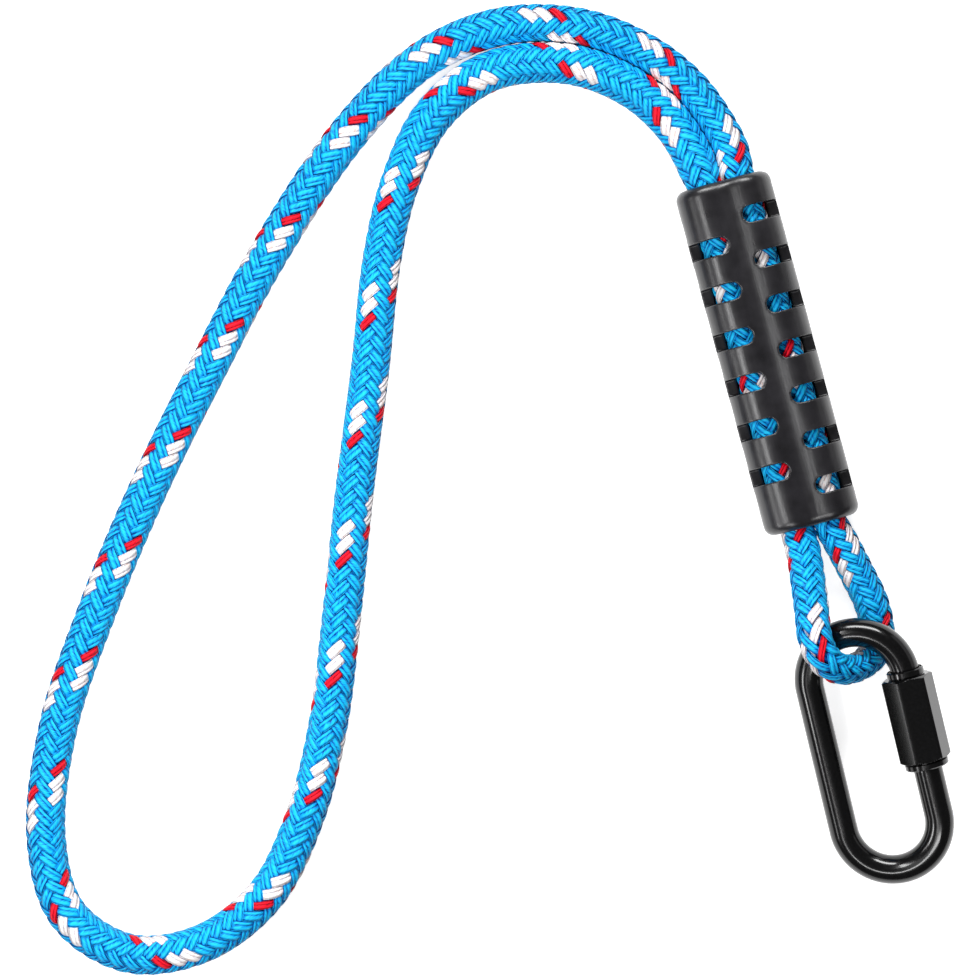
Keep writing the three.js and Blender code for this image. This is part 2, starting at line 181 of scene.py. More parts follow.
# ---- Camera: straight above, turned so that the grip leans as it is seen ----
def add_camera():
    lens, sensor = 170.0, 36.0
    centre = Vector((grip.x, grip.y, 0)) + VIEW_MIDDLE
    data = bpy.data.cameras.new("camera")
    data.lens = lens
    data.sensor_fit = "VERTICAL"
    data.sensor_height = sensor
    camera = bpy.data.objects.new("camera", data)
    bpy.context.collection.objects.link(camera)
    camera.location = centre + Vector((0, 0, FOCUS_HEIGHT + VIEW_HEIGHT * lens / sensor))
    camera.rotation_euler = (0, 0, -VIEW_TURN)
    bpy.context.scene.camera = camera


# ---- Curves ----
def smooth_route(points, step):
    """Even points along a centripetal Catmull-Rom curve through the points."""
    p = np.array(points, float)
    p = np.vstack([2 * p[0] - p[1], p, 2 * p[-1] - p[-2]])
    fine = []
    fine_steps = 40
    for a, b, c, d in zip(p, p[1:], p[2:], p[3:]):
        knots = [0.0]
        for start, end in ((a, b), (b, c), (c, d)):
            knots.append(knots[-1] + math.sqrt(np.linalg.norm(end - start)))
        t0, t1, t2, t3 = knots
        t = np.linspace(t1, t2, fine_steps, endpoint=False)[:, None]
        ab = ((t1 - t) * a + (t - t0) * b) / (t1 - t0)
        bc = ((t2 - t) * b + (t - t1) * c) / (t2 - t1)
        cd = ((t3 - t) * c + (t - t2) * d) / (t3 - t2)
        abc = ((t2 - t) * ab + (t - t0) * bc) / (t2 - t0)
        bcd = ((t3 - t) * bc + (t - t1) * cd) / (t3 - t1)
        fine.append(((t2 - t) * abc + (t - t1) * bcd) / (t2 - t1))
    fine = np.vstack([*fine, p[-2:-1]])
    return even_points(fine, step)


def lengths_along(points):
    return np.r_[0, np.cumsum(np.linalg.norm(np.diff(points, axis=0), axis=1))]


def even_points(points, step):
    """Points spaced evenly along a line of points, about a step apart."""
    run = lengths_along(points)
    stops = np.linspace(0, run[-1], max(2, round(run[-1] / step) + 1))
    return np.stack([np.interp(stops, run, points[:, k]) for k in range(3)], axis=1)


def unit(vectors):
    return vectors / np.linalg.norm(vectors, axis=-1, keepdims=True)


def frames_along(path):
    """Unit vectors along the path, to its left, and up from both, with no twist in plan."""
    along = unit(np.gradient(path, axis=0))
    side = unit(np.stack([-along[:, 1], along[:, 0], np.zeros(len(path))], axis=1))
    return along, side, np.cross(along, side)


def ease(value, low, high):
    """A smooth step from 0 at low to 1 at high."""
    t = np.clip((value - low) / (high - low), 0, 1)
    return t * t * (3 - 2 * t)


# ---- Meshes ----
class MeshParts:
    """Grids of points that become one mesh, each with its own material slot and its own UVs."""

    def __init__(self):
        self.points, self.faces, self.slots, self.uvs, self.lifts = [], [], [], [], []
        self.count = 0

    def add_grid(self, grid, slot=0, v_scale=1.0, close_ends=False, lift=1.0):
        """grid is rings x sides x 3, and each ring closes on itself. lift is kept for each ring:
        0 where a strand passes under the others and 1 where it lies on top."""
        rings, sides = grid.shape[:2]
        index = np.arange(rings * sides).reshape(rings, sides) + self.count
        nxt = np.roll(index, -1, axis=1)
        quads = np.stack([index[:-1], nxt[:-1], nxt[1:], index[1:]], axis=-1).reshape(-1, 4)
        u = np.arange(sides) / sides
        run = lengths_along(grid.mean(axis=1)) * v_scale
        u0, v0 = np.broadcast_arrays(u[None, :], run[:-1, None])
        u1, v1 = np.broadcast_arrays(u[None, :] + 1 / sides, run[1:, None])
        uv = np.stack([np.stack([u0, v0], -1), np.stack([u1, v0], -1),
                       np.stack([u1, v1], -1), np.stack([u0, v1], -1)], axis=2)
        self.points.append(grid.reshape(-1, 3))
        self.faces.append(quads)
        self.slots.append(np.full(len(quads), slot))
        self.uvs.append(uv.reshape(-1, 2))
        self.lifts.append(np.repeat(np.broadcast_to(lift, rings), sides))
        self.count += rings * sides
        if close_ends:
            self.close(grid[0], index[0][::-1], slot)
            self.close(grid[-1], index[-1], slot)

    def close(self, ring, index, slot):
        """Closes a ring with triangles that meet at its middle, kept as quads with a corner twice."""
        self.points.append(ring.mean(axis=0)[None])
        self.lifts.append(np.ones(1))
        middle = self.count
        self.count += 1
        pairs = [(index[i], index[(i + 1) % len(index)]) for i in range(len(index))]
        quads = [(a, b, middle, middle) for a, b in pairs]
        self.faces.append(np.array(quads))
        self.slots.append(np.full(len(quads), slot))
        self.uvs.append(np.zeros((4 * len(quads), 2)))

    def build(self, name, materials):
        points = np.vstack(self.points)
        faces = np.vstack(self.faces)
        slots = np.concatenate(self.slots)
        uvs = np.vstack(self.uvs).reshape(len(faces), 4, 2)
        triangle = faces[:, 2] == faces[:, 3]
        sizes = np.where(triangle, 3, 4)
        keep = np.ones(faces.shape, bool)
        keep[triangle, 3] = False
        mesh = bpy.data.meshes.new(name)
        mesh.vertices.add(len(points))
        mesh.vertices.foreach_set("co", points.astype(np.float32).ravel())
        mesh.loops.add(int(sizes.sum()))
        mesh.loops.foreach_set("vertex_index", faces[keep].astype(np.int32))
        mesh.polygons.add(len(faces))
        starts = np.r_[0, np.cumsum(sizes)[:-1]]
        mesh.polygons.foreach_set("loop_start", starts.astype(np.int32))
        mesh.update(calc_edges=True)
        for material in materials:
            mesh.materials.append(material)
        mesh.polygons.foreach_set("material_index", slots.astype(np.int32))
        mesh.shade_smooth()
        layer = mesh.uv_layers.new(name="along")
        layer.data.foreach_set("uv", uvs[keep].astype(np.float32).ravel())
        lift = mesh.attributes.new("lift", "FLOAT", "POINT")
        lift.data.foreach_set("value", np.concatenate(self.lifts).astype(np.float32))
        mesh.validate()
        piece = bpy.data.objects.new(name, mesh)
        bpy.context.collection.objects.link(piece)
        return piece


def tube_grid(path, radius, sides):
    """Round rings along a path; radius is one number or one for each point."""
    _, side, up = frames_along(path)
    angle = np.linspace(0, 2 * np.pi, sides, endpoint=False)[None, :, None]
    spokes = np.cos(angle) * side[:, None] + np.sin(angle) * up[:, None]
    radius = np.broadcast_to(radius, len(path))[:, None, None]
    return path[:, None] + radius * spokes


# ---- Materials ----
def new_material(name):
    material = bpy.data.materials.new(name)
    material.use_nodes = True
    nodes, links = material.node_tree.nodes, material.node_tree.links
    return material, nodes, links, nodes["Principled BSDF"]


def noise(nodes, links, coords, scale, detail=2.0, stretch=None):
    """A noise texture's Fac output on the coordinates, stretched by a per-axis scale."""
    texture = nodes.new("ShaderNodeTexNoise")
    texture.inputs["Scale"].default_value = scale
    texture.inputs["Detail"].default_value = detail
    if stretch:
        mapping = nodes.new("ShaderNodeMapping")
        mapping.inputs["Scale"].default_value = stretch
        links.new(coords, mapping.inputs["Vector"])
        coords = mapping.outputs["Vector"]
    links.new(coords, texture.inputs["Vector"])
    return texture.outputs["Fac"]


def math_node(nodes, links, operation, a, b=None):
    node = nodes.new("ShaderNodeMath")
    node.operation = operation
    for socket, value in zip(node.inputs, (a, b)):
        if value is None:
            continue
        if isinstance(value, (int, float)):
            socket.default_value = value
        else:
            links.new(value, socket)
    return node.outputs[0]


def ramp(nodes, links, value, stops):
    """A colour ramp over (position, colour) stops."""
    node = nodes.new("ShaderNodeValToRGB")
    elements = node.color_ramp.elements
    while len(elements) < len(stops):
        elements.new(0.5)
    for element, (position, colour) in zip(elements, stops):
        element.position = position
        element.color = (*colour, 1)
    links.new(value, node.inputs["Fac"])
    return node.outputs["Color"]


def bump(nodes, links, height, distance, strength=1.0, under=None):
    node = nodes.new("ShaderNodeBump")
    node.inputs["Distance"].default_value = distance
    node.inputs["Strength"].default_value = strength
    links.new(height, node.inputs["Height"])
    if under is not None:
        links.new(under, node.inputs["Normal"])
    return node.outputs["Normal"]


def yarn_material(name, dark, mid, light, roughness, streak=None):
    """Filament yarns side by side in a strand, from the UVs round and along the strand. Shade is
    painted into
    the colour: darker in the grooves between the yarns, along the strand's edges and where it dives
    under the others."""
    twist = 0.22            # slant of the filaments across each yarn
    yarn_weight, filament_weight, patch_weight = 0.40, 1.0, 0.40
    level = 0.40            # taken off, so that the tone lies about the middle of the ramp
    darkest = 0.38          # share of the tone that is left where the painted shade is deepest
    material, nodes, links, shader = new_material(name)
    shader.inputs["Base Color"].default_value = (*mid, 1)
    uv = nodes.new("ShaderNodeUVMap")
    uv.uv_map = "along"
    split = nodes.new("ShaderNodeSeparateXYZ")
    links.new(uv.outputs["UV"], split.inputs["Vector"])
    round_strand = split.outputs["X"]
    ridge = math_node(nodes, links, "MULTIPLY", round_strand, STRAND_YARNS * math.pi)
    ridge = math_node(nodes, links, "ABSOLUTE", math_node(nodes, links, "SINE", ridge))
    groove = math_node(nodes, links, "POWER", ridge, 0.7)
    # Painted shade along the strand's two edges, where it meets its neighbours.
    edge = math_node(nodes, links, "MULTIPLY", round_strand, 2 * math.pi)
    edge = math_node(nodes, links, "ABSOLUTE", math_node(nodes, links, "SINE", edge))
    edge = ramp(nodes, links, edge, [(0.05, (0, 0, 0)), (0.55, (1, 1, 1))])
    # Painted shade where the strand dives under the others, from the lift that its rings keep.
    lift = nodes.new("ShaderNodeAttribute")
    lift.attribute_name = "lift"
    on_top = ramp(nodes, links, lift.outputs["Fac"], [(0.30, (0, 0, 0)), (0.85, (1, 1, 1))])
    slant = math_node(nodes, links, "MULTIPLY", split.outputs["Y"], twist)
    combined = nodes.new("ShaderNodeCombineXYZ")
    links.new(math_node(nodes, links, "ADD", round_strand, slant), combined.inputs["X"])
    links.new(split.outputs["Y"], combined.inputs["Y"])
    filaments = noise(nodes, links, combined.outputs["Vector"], 1.0, 2.0, (26, 1.6, 1))
    patches = noise(nodes, links, combined.outputs["Vector"], 1.0, 2.0, (7, 0.9, 1))
    # Painted shade in the grooves between the yarns: the tone is lower there than on their crests.
    tone = math_node(nodes, links, "MULTIPLY", groove, yarn_weight)
    for part, weight in ((filaments, filament_weight), (patches, patch_weight)):
        weighed = math_node(nodes, links, "MULTIPLY", part, weight)
        tone = math_node(nodes, links, "ADD", tone, weighed)
    tone = math_node(nodes, links, "SUBTRACT", tone, level)
    # The painted shade takes the tone down towards its darkest share.
    painted_shade = math_node(nodes, links, "MULTIPLY", edge, on_top)
    painted_shade = math_node(nodes, links, "MULTIPLY", painted_shade, 1 - darkest)
    painted_shade = math_node(nodes, links, "ADD", painted_shade, darkest)
    tone = math_node(nodes, links, "MULTIPLY", tone, painted_shade)
    colour = ramp(nodes, links, tone, [(0.21, dark), (0.46, mid), (0.70, light)])
    if streak:
        mix = nodes.new("ShaderNodeMix")
        mix.data_type = "RGBA"
        thin = noise(nodes, links, combined.outputs["Vector"], 1.0, 1.0, (16, 1.6, 1))
        amount = ramp(nodes, links, thin, [(0.55, (0, 0, 0)), (0.66, (0.8, 0.8, 0.8))])
        links.new(amount, mix.inputs["Factor"])
        links.new(colour, mix.inputs["A"])
        mix.inputs["B"].default_value = (*streak, 1)
        colour = mix.outputs["Result"]
    links.new(colour, shader.inputs["Base Color"])
    rough = math_node(nodes, links, "MULTIPLY", filaments, 0.25)
    rough = math_node(nodes, links, "ADD", rough, roughness - 0.12)
    links.new(rough, shader.inputs["Roughness"])
    shader.inputs["Specular IOR Level"].default_value = 0.14
    shader.inputs["Sheen Weight"].default_value = 0.02
    shader.inputs["Sheen Roughness"].default_value = 0.4
    lobed = bump(nodes, links, groove, 0.4 * MM, 1.0)
    links.new(bump(nodes, links, filaments, 0.18 * MM, 0.9, lobed), shader.inputs["Normal"])
    return material


def core_material():
    material, nodes, links, shader = new_material("rope core yarn")
    coords = nodes.new("ShaderNodeTexCoord").outputs["Object"]
    fibres = noise(nodes, links, coords, 900, 3.0)
    colour = ramp(nodes, links, fibres, [(0.3, (0.55, 0.52, 0.45)), (0.7, (0.86, 0.84, 0.78))])
    links.new(colour, shader.inputs["Base Color"])
    shader.inputs["Roughness"].default_value = 0.85
    links.new(bump(nodes, links, fibres, 0.2 * MM), shader.inputs["Normal"])
    return material


def grip_material():
    """Moulded black rubber: satin, a little mottled, with faint flow lines along it."""
    material, nodes, links, shader = new_material("grip rubber")
    coords = nodes.new("ShaderNodeTexCoord").outputs["Object"]
    mottle = noise(nodes, links, coords, 160, 4.0)
    flow = noise(nodes, links, coords, 1.0, 2.0, (420, 30, 420))
    grain = noise(nodes, links, coords, 2600, 2.0)
    colour = ramp(nodes, links, mottle, [(0.3, (0.007, 0.0065, 0.008)), (0.7, (0.014, 0.013, 0.016))])
    links.new(colour, shader.inputs["Base Color"])
    rough = math_node(nodes, links, "MULTIPLY", mottle, 0.16)
    rough = math_node(nodes, links, "ADD", rough, math_node(nodes, links, "MULTIPLY", flow, 0.12))
    links.new(math_node(nodes, links, "ADD", rough, 0.18), shader.inputs["Roughness"])
    shader.inputs["Specular IOR Level"].default_value = 0.6
    soft = bump(nodes, links, flow, 0.12 * MM, 0.6)
    links.new(bump(nodes, links, grain, 0.03 * MM, 0.5, soft), shader.inputs["Normal"])
    return material


def steel_material():
    """Glossy black plating over steel, with the faint ripple of bar stock."""
    material, nodes, links, shader = new_material("black plated steel")
    coords = nodes.new("ShaderNodeTexCoord").outputs["Object"]
    ripple = noise(nodes, links, coords, 120, 2.0)
    scuffs = noise(nodes, links, coords, 1500, 4.0)
    dark, light = (0.0022, 0.0022, 0.0024), (0.006, 0.006, 0.0065)
    links.new(ramp(nodes, links, scuffs, [(0.35, dark), (0.75, light)]), shader.inputs["Base Color"])
    shader.inputs["Metallic"].default_value = 0.35
    rough = math_node(nodes, links, "MULTIPLY", scuffs, 0.08)
    links.new(math_node(nodes, links, "ADD", rough, 0.14), shader.inputs["Roughness"])
    shader.inputs["Coat Weight"].default_value = 0.3
    shader.inputs["Coat Roughness"].default_value = 0.08
    links.new(bump(nodes, links, ripple, 0.1 * MM, 0.02), shader.inputs["Normal"])
    return material


def twine_material():
    material, nodes, links, shader = new_material("whipping twine")
    coords = nodes.new("ShaderNodeTexCoord").outputs["Object"]
    turns = nodes.new("ShaderNodeTexWave")
    turns.bands_direction = "Y"
    turns.inputs["Scale"].default_value = 400
    links.new(coords, turns.inputs["Vector"])
    # Painted shade: each turn is light in its middle and dark where it meets the next.
    dark, light = (0.45, 0.42, 0.36), (0.85, 0.82, 0.74)
    colour = ramp(nodes, links, turns.outputs["Fac"], [(0.1, dark), (0.6, light)])
    links.new(colour, shader.inputs["Base Color"])
    shader.inputs["Roughness"].default_value = 0.7
    links.new(bump(nodes, links, turns.outputs["Fac"], 0.2 * MM), shader.inputs["Normal"])
    return material


BLUE = yarn_material("blue yarn", (0.0, 0.028, 0.23), (0.0, 0.29, 0.80), (0.012, 0.58, 0.98), 0.45)
WHITE = yarn_material("white yarn", (0.50, 0.46, 0.58), (0.93, 0.90, 0.92), (1.0, 0.98, 0.99), 0.6,
                      streak=(0.86, 0.62, 0.55))
RED = yarn_material("red yarn", (0.24, 0.0, 0.012), (0.74, 0.001, 0.016), (0.95, 0.010, 0.03), 0.45)
# Painted shade: a near black blue for the tube inside the braid, which shows between the strands.
SHADE = yarn_material("painted shade inside the braid", (0.0, 0.006, 0.06), (0.0, 0.01, 0.1), (0.0, 0.02, 0.14), 0.8)
ROPE_MATERIALS = [BLUE, WHITE, RED, SHADE]
CORE = core_material()
RUBBER = grip_material()
STEEL = steel_material()
TWINE = twine_material()

# One group of three tracers winds right-handed round the rope: a red strand and two white ones,
# which follow it along the loop and lead it through the bight and the grip.
LOOP_TRACERS = {0: 2, -1: 1, -2: 1}
BIGHT_TRACERS = {0: 2, 1: 1, 2: 1}


# ---- Rope ----
def crown(x):
    """A wave from -1 to 1 with broad tops, as a strand has where it floats over two others."""
    return x * np.sqrt(1.5 / (0.5 + x * x))


def strand_section():
    """One strand's cross-section, as shares of its half width and half height: flat, with square
    shoulders, and a groove between each two of its yarns."""
    angle = np.linspace(0, 2 * np.pi, STRAND_SIDES, endpoint=False)
    relief = 1 + YARN_RELIEF * np.cos(STRAND_YARNS * (angle - np.pi / 2))
    across, out = np.cos(angle), np.sin(angle)
    return (relief * np.sign(across) * np.abs(across) ** STRAND_SQUARE,
            relief * np.sign(out) * np.abs(out) ** STRAND_SQUARE)


def add_braid(parts, path, diameters, marks, tracers):
    """Every strand of the braided cover along a path, two directions woven two over, two under."""
    _, side, up = frames_along(path)
    run = lengths_along(path) / MM
    at, quarters, columns = np.array(marks, float).T
    # Past its outer marks the braid goes on at its pitch.
    before, after = run.min() - 1, run.max() + 1
    quarter = BRAID_PITCH / MM / 4
    quarters = np.r_[quarters[0] - (at[0] - before) / quarter, quarters,
                     quarters[-1] + (after - at[-1]) / quarter]
    columns = np.r_[columns[0], columns, columns[-1]]
    at = np.r_[before, at, after]
    float_middle = np.pi / 16     # angle at which a strand is at the middle of a float
    wound = np.interp(run, at, quarters) * np.pi / 2 + float_middle
    turn = np.radians(np.interp(run, at, columns)) - float_middle
    scale = diameters / ROPE
    across_section, out_section = strand_section()
    for way in (1, -1):
        for k in range(CARRIERS):
            round_rope = way * wound + 2 * np.pi * k / CARRIERS
            angle = round_rope + turn
            spoke = np.cos(angle)[:, None] * side + np.sin(angle)[:, None] * up
            # Eight columns of floats, four of each direction, lie along the rope.
            weave = way * crown(np.cos(CARRIERS / 2 * (round_rope - float_middle)))
            radius = (BRAID_BASE + BRAID_WAVE * weave) * scale
            middle = path + radius[:, None] * spoke
            along = unit(np.gradient(middle, axis=0))
            across = unit(np.cross(along, spoke))
            out = np.cross(across, along)
            # Only the strands that wind one way hold tracers.
            slot = 0
            if way > 0:
                slot = tracers.get(k, tracers.get(k - CARRIERS, 0))
            full = RED_WIDTH if slot == 2 else STRAND_WIDTH
            # A float is widest at its middle and narrows where it dives.
            width = full / 2 * scale * (1 - DIVE_WIDTH * (1 - weave))
            height = STRAND_HEIGHT / 2 * scale * (1 - DIVE_HEIGHT * (1 - weave))
            ring = (across_section[None, :, None] * (width[:, None] * across)[:, None]
                    + out_section[None, :, None] * (height[:, None] * out)[:, None])
            parts.add_grid((middle[:, None] + ring)[:, ::-1], slot, v_scale=1 / STRAND_WIDTH,
                           lift=(1 + weave) / 2)


def add_rope(name, path, diameters, marks, tracers):
    parts = MeshParts()
    add_braid(parts, path, diameters, marks, tracers)
    # A tube of painted shade inside the braid, seen dark between the strands.
    parts.add_grid(tube_grid(path, LINER * diameters, 32), 3, v_scale=1 / STRAND_WIDTH)
    piece = parts.build(name, ROPE_MATERIALS)
    return piece


def add_core(name, path, diameters):
    parts = MeshParts()
    parts.add_grid(tube_grid(path, diameters / 2 - COVER_THICKNESS, 24), close_ends=True)
    piece = parts.build(name, [CORE])
    return piece


def free_stretch(route, diameter, swell):
    """A stretch between two mouths, and its diameter at each point."""
    path = smooth_route(route, STRAND_STEP / MM) * MM + GRIP_PLAN
    run = lengths_along(path)
    swollen = np.minimum(ease(run, 0, swell[0]), ease(run[-1] - run, 0, swell[1]))
    diameters = THROAT + (diameter - THROAT) * swollen
    return path, diameters


def strand_stretch(side):
    """The strand inside the grip, from the lower mouth to the upper one. It runs straight in from
    each mouth and then out to its wider spacing."""
    mouth = MOUTH / MM
    throat = THROAT_LENGTH / MM
    spread = STRAND_SPREAD / MM
    half = [(MOUTH_SPREAD / MM, mouth), (MOUTH_SPREAD / MM, mouth - 1),
            (spread - 0.1, mouth - throat), (spread, mouth - 2 * throat)]
    points = [(x, -y) for x, y in half] + [(spread, 0)] + half[::-1]
    route = [(side * x, y, GRIP_Z / MM) for x, y in points]
    path = smooth_route(route, STRAND_STEP / MM) * MM + GRIP_PLAN
    run = lengths_along(path)
    from_mouth = np.minimum(run, run[-1] - run)
    diameters = THROAT + (SQUEEZED - THROAT) * ease(from_mouth, 0, THROAT_LENGTH)
    return path, diameters


def add_free_ropes():
    loop, loop_size = free_stretch(LOOP_ROUTE, ROPE, LOOP_SWELL)
    run = lengths_along(loop)
    beside = 1 - ease(np.minimum(run, run[-1] - run), BESIDE - BESIDE_FADE, BESIDE)
    loop_size = loop_size * (1 + FLATTENED * beside)
    bight, bight_size = free_stretch(BIGHT_ROUTE, BIGHT, BIGHT_SWELL)
    from_bend = lengths_along(bight) - BEND_AT
    bight_size = bight_size * (1 - PINCH * np.exp(-(from_bend / PINCH_REACH) ** 2))

    rope_loop = add_rope("rope_loop", loop, loop_size, LOOP_MARKS, LOOP_TRACERS)
    core_loop = add_core("rope_core_loop", loop, loop_size)
    rope_bight = add_rope("rope_bight", bight, bight_size, BIGHT_MARKS, BIGHT_TRACERS)
    core_bight = add_core("rope_core_bight", bight, bight_size)
    for piece, end in ((rope_loop, "cover"), (core_loop, "core")):
        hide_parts(f"rope_loop_{end}", f"loop_neck_left_{end}", f"loop_neck_right_{end}")
        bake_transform(piece)
    for piece, end in ((rope_bight, "cover"), (core_bight, "core")):
        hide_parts(f"rope_bight_{end}", f"bight_neck_left_{end}", f"bight_neck_right_{end}")
        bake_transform(piece)


def add_ropes_in_grip():
    left, left_size = strand_stretch(-1)
    right, right_size = strand_stretch(1)
    rope_left = add_rope("rope_in_grip_left", left, left_size, LEFT_MARKS, BIGHT_TRACERS)
    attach(rope_left, "grip")
    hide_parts("strand_left_cover")

    # The rope's two ends meet in the right strand, each bound by its whipping.
    lower_whipping, upper_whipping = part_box("whipping_lower"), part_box("whipping_upper")
    joint = (lower_whipping[1].y + upper_whipping[0].y) / 2
    waist = 1 - ease(np.abs(right[:, 1] - joint), WHIPPING_LENGTH, 1.5 * WHIPPING_LENGTH)
    right_size = right_size - (SQUEEZED - WAIST) * waist
    for name, part in (("lower", right[:, 1] < joint), ("upper", right[:, 1] >= joint)):
        path, size = right[part], right_size[part]
        begins = (path[0][1] - right[0][1]) / MM
        marks = [(at - begins, quarters, column) for at, quarters, column in RIGHT_MARKS]
        piece = add_rope(f"rope_in_grip_right_{name}", path, size, marks, BIGHT_TRACERS)
        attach(piece, "grip")
        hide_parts(f"strand_right_{name}_cover")


# ---- Grip sleeve ----
def grip_outline(rounded, fine):
    """Two lobes with a shallow valley between, as x and z, from the lower left round the left side.
    rounded is 0 along the sleeve and 1 on an end face, where the lobes stand round the mouths."""
    drawn_in = GRIP_SPREAD - MOUTH_SPREAD
    spread = GRIP_SPREAD - drawn_in * rounded
    radius = GRIP_LOBE - (GRIP_ROUND - drawn_in) * rounded
    angle = np.linspace(-np.pi / 2, np.pi / 2, fine)
    x = np.linspace(-spread, spread, fine // 2)[1:-1]
    valley = radius - GRIP_DIP * (1 + np.cos(np.pi * x / spread)) / 2
    left = np.stack([-spread - radius * np.cos(angle), radius * np.sin(angle)], axis=1)
    half = np.vstack([left, np.stack([x, valley], axis=1)])
    return np.vstack([half, -half])


def grip_solid():
    """The sleeve before its bores and slots are cut, with rounded ends."""
    steps = 8
    rings = []
    for end in (-1, 1):
        for i in range(steps + 1):
            angle = math.pi / 2 * (steps - i if end < 0 else i) / steps
            y = end * (GRIP_LENGTH / 2 - GRIP_ROUND * (1 - math.sin(angle)))
            outline = grip_outline(1 - math.cos(angle), 48)
            rings.append(np.stack([outline[:, 0], np.full(len(outline), y), outline[:, 1]], axis=1))
    parts = MeshParts()
    parts.add_grid(np.array(rings) + np.array(grip), close_ends=True)
    return parts.build("grip_sleeve_shape", [RUBBER])


def grip_cutter():
    """The two bores, the opening between them and the slots."""
    parts = MeshParts()
    for side in (-1, 1):
        path, size = strand_stretch(side)
        onward = np.array((0, BORE_PAST, 0))
        path = np.vstack([path[0] - onward, path, path[-1] + onward])
        size = np.r_[size[0], size, size[-1]] + BORE_CLEARANCE
        parts.add_grid(tube_grid(path, size / 2, 48), close_ends=True)
    reach = GRIP_LENGTH / 2 + WEB_PAST
    corners = np.array([(-1, -1), (-1, 1), (1, 1), (1, -1)]) * WEB
    web = [np.stack([corners[:, 0], np.full(4, y), corners[:, 1]], axis=1) for y in (-reach, reach)]
    parts.add_grid(np.array(web) + np.array(grip), close_ends=True)
    for turn in (1, -1):
        for side, count in ((1, SLOTS_RIGHT), (-1, SLOTS_LEFT)):
            for i in range(count):
                y = SLOT_SHIFT + SLOT_PITCH * (i - (count - 1) / 2)
                parts.add_grid(slot_prism(side, y, turn) + np.array(grip), close_ends=True)
    return parts.build("grip_cutter", [RUBBER])


def slot_prism(side, y, turn):
    """An upright prism that cuts one slot, open to the side. turn -1 cuts the underside."""
    half = SLOT_WIDTH / 2
    angle = np.linspace(-np.pi / 2, np.pi / 2, 13)
    inner = SLOT_INNER + half - half * np.cos(angle)
    outside = 2 * GRIP_LOBE       # clear of the sleeve's side and top
    outline = [(outside, -half), *zip(inner, half * np.sin(angle)), (outside, half)]
    flat = np.array(outline) * (side, side) + (0, y)
    rings = [np.column_stack([flat, np.full(len(flat), z)]) for z in (-SLOT_BELOW, outside)]
    return np.array(rings)[::-1] * (turn, 1, turn)


def apply_modifiers(piece):
    """Puts the shape that its modifiers make into the piece itself."""
    graph = bpy.context.evaluated_depsgraph_get()
    mesh = bpy.data.meshes.new_from_object(piece.evaluated_get(graph))
    piece.modifiers.clear()
    old, piece.data = piece.data, mesh
    bpy.data.meshes.remove(old)


def add_grip():
    sleeve, cutter = grip_solid(), grip_cutter()
    cut = sleeve.modifiers.new("cut", "BOOLEAN")
    cut.operation = "DIFFERENCE"
    cut.solver = "EXACT"
    cut.use_self = True
    cut.object = cutter
    remesh = sleeve.modifiers.new("remesh", "REMESH")
    remesh.mode = "VOXEL"
    remesh.voxel_size = GRIP_VOXEL
    soften = sleeve.modifiers.new("soften", "SMOOTH")
    soften.factor = 0.5
    soften.iterations = 2
    apply_modifiers(sleeve)
    bpy.data.objects.remove(cutter)
    sleeve.name = "grip_sleeve_moulded"
    sleeve.data.name = sleeve.name
    sleeve.data.materials.clear()
    sleeve.data.materials.append(RUBBER)
    sleeve.data.shade_smooth()
    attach(sleeve, "grip")
    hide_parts("grip_sleeve")


# ---- Quick link, in a frame of its own: origin at the upper bow's centre, +y up the link ----
def link_matrix():
    """The link's own frame, from its joints' axes."""
    joint = joints["link_swing"]
    up = -Vector(joints["nut_travel"]["axis"]).normalized()
    normal = Vector(joint["axis"]).normalized()
    across = up.cross(normal)
    matrix = Matrix((across, up, normal)).transposed().to_4x4()
    matrix.translation = Vector(joint["pos_m"])
    return matrix


def moved(matrix, points):
    """A grid of points in the link's or the nut's own frame, put in its place."""
    m = np.array(matrix)
    return points @ m[:3, :3].T + m[:3, 3]


def link_line(step):
    """Points along the bar's middle, from the gap's upper end over the top bow and round."""
    rise = LEAN[0] * (BOW_TOP.x - BOW_FOOT.x) + LEAN[1] * (BOW_TOP.y - BOW_FOOT.y)
    length = Vector((BOW_TOP.x - BOW_FOOT.x, BOW_TOP.y - BOW_FOOT.y, rise)).length
    angle = np.linspace(0, np.pi, 4000)
    top = np.stack([BOW * np.cos(angle), BOW * np.sin(angle)], axis=1)
    foot = np.stack([-BOW * np.cos(angle), -length - BOW * np.sin(angle)], axis=1)
    flat = np.vstack([(BOW, -GAP_START), top, foot, (BOW, -GAP_START - GAP_LENGTH)])
    points = np.column_stack([flat, np.zeros(len(flat))])
    return even_points(points, step)


def thread_wave(turns):
    """A rounded V thread, 0 at the crest and 1 at the root."""
    phase = np.abs(2 * (turns % 1) - 1)
    return ease(phase, 0.15, 0.85)


